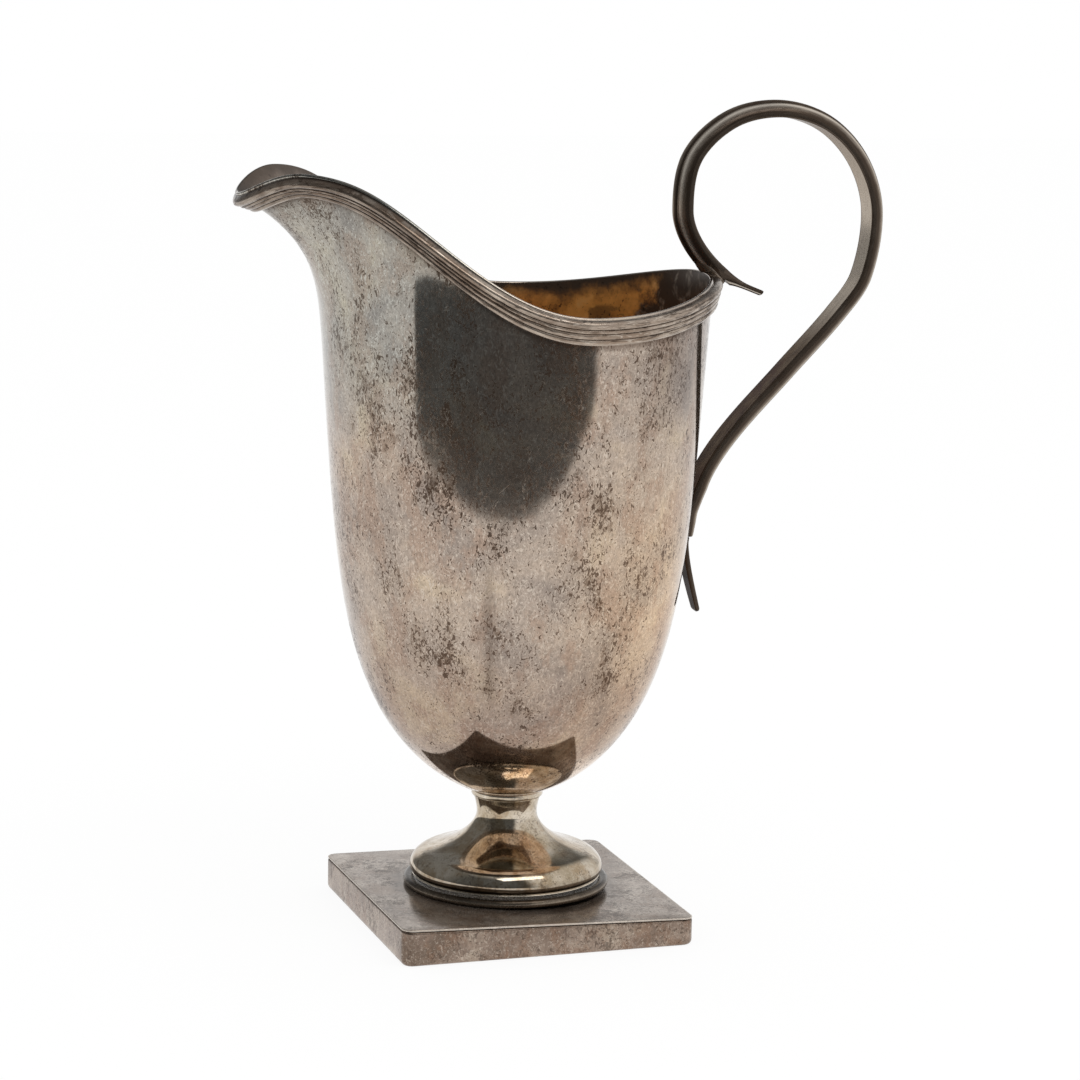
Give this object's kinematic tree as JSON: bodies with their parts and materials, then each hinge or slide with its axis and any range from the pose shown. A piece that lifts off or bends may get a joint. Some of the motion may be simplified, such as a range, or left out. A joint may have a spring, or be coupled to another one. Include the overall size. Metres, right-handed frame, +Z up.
{
  "type": "helmet cream jug",
  "caption": "Helmet-shaped cream jug with a pouring lip, reeded rim and looped reeded strap handle, on a spun stem and foot over a square plinth.",
  "frame": {"origin": "on the surface that the jug stands on, under the middle of its overall box", "axes": "+Z up the jug's axis, +X from the lip to the handle, +Y across the bowl"},
  "size_m": [0.117, 0.0724, 0.1463],
  "materials": {
    "tarnished_silver": "silver with a warm grey tarnish, dark pits and fine scratches outside, worn gilding inside",
    "worn_reeded_silver": "silver reeds with brown tarnish in the grooves",
    "dark_reeded_silver": "darkly tarnished silver with rubbed reeds",
    "polished_silver": "silver rubbed bright, with an olive-brown tarnish",
    "brown_tarnished_silver": "silver with a mottled brown tarnish and fine scratches"
  },
  "bodies": {
    "root": {"bowl": "tarnished_silver", "rim_moulding": "worn_reeded_silver", "handle": "dark_reeded_silver", "handle_tail": "dark_reeded_silver", "stem_collar": "polished_silver", "pedestal": "polished_silver", "foot_ring": "polished_silver", "plinth_plate": "brown_tarnished_silver", "plinth_band": "brown_tarnished_silver"}
  },
  "joints": []
}
